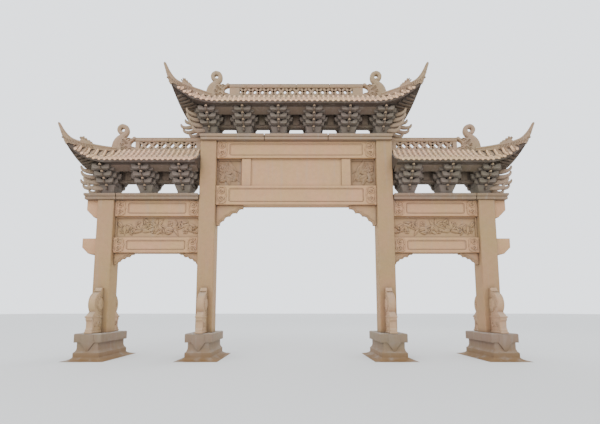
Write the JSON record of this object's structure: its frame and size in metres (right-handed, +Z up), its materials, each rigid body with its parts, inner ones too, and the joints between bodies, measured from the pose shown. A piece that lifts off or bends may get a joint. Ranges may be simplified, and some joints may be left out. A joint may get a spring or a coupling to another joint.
{
  "type": "stone paifang (memorial archway)",
  "caption": "Free-standing stone memorial archway with columns on stepped plinths, drum stones, beams with carved panels, tiered bracket sets and swept-up tiled roofs with pierced ridges.",
  "frame": {"origin": "centre of the archway's footprint on the ground, under the middle of the centre bay", "axes": "+X along the row of columns, +Y from the front face to the back, +Z up"},
  "size_m": [14.7872, 2.9066, 9.874],
  "materials": {
    "beam_granite": "matte",
    "bracket_granite": "matte",
    "column_granite": "matte",
    "drum_granite": "matte",
    "panel_granite": "matte",
    "plate_granite": "matte",
    "plinth_granite": "matte",
    "ridge_granite": "matte",
    "roof_granite": "matte"
  },
  "bodies": {
    "root": {"centre_bracket_sets": "bracket_granite", "centre_lower_beam": "beam_granite", "centre_ridge": "ridge_granite", "centre_roof": "roof_granite", "centre_top_plate": "plate_granite", "centre_upper_beam": "beam_granite", "left_beam_ends": "beam_granite", "left_centre_corner_bracket": "beam_granite", "left_centre_hip_ridges": "ridge_granite", "left_centre_ridge_beast": "ridge_granite", "left_inner_column": "column_granite", "left_inner_drum_stones": "drum_granite", "left_inner_plinth": "plinth_granite", "left_outer_column": "column_granite", "left_outer_drum_stones": "drum_granite", "left_outer_plinth": "plinth_granite", "left_plaque_stile": "beam_granite", "left_side_bracket_sets": "bracket_granite", "left_side_corner_brackets": "beam_granite", "left_side_hip_ridges": "ridge_granite", "left_side_lower_beam": "beam_granite", "left_side_panel": "panel_granite", "left_side_ridge": "ridge_granite", "left_side_ridge_beast": "ridge_granite", "left_side_roof": "roof_granite", "left_side_top_plate": "plate_granite", "left_side_upper_beam": "beam_granite", "left_square_panel": "panel_granite", "name_plaque": "panel_granite", "right_beam_ends": "beam_granite", "right_centre_corner_bracket": "beam_granite", "right_centre_hip_ridges": "ridge_granite", "right_centre_ridge_beast": "ridge_granite", "right_inner_column": "column_granite", "right_inner_drum_stones": "drum_granite", "right_inner_plinth": "plinth_granite", "right_outer_column": "column_granite", "right_outer_drum_stones": "drum_granite", "right_outer_plinth": "plinth_granite", "right_plaque_stile": "beam_granite", "right_side_bracket_sets": "bracket_granite", "right_side_corner_brackets": "beam_granite", "right_side_hip_ridges": "ridge_granite", "right_side_lower_beam": "beam_granite", "right_side_panel": "panel_granite", "right_side_ridge": "ridge_granite", "right_side_ridge_beast": "ridge_granite", "right_side_roof": "roof_granite", "right_side_top_plate": "plate_granite", "right_side_upper_beam": "beam_granite", "right_square_panel": "panel_granite"}
  },
  "joints": []
}
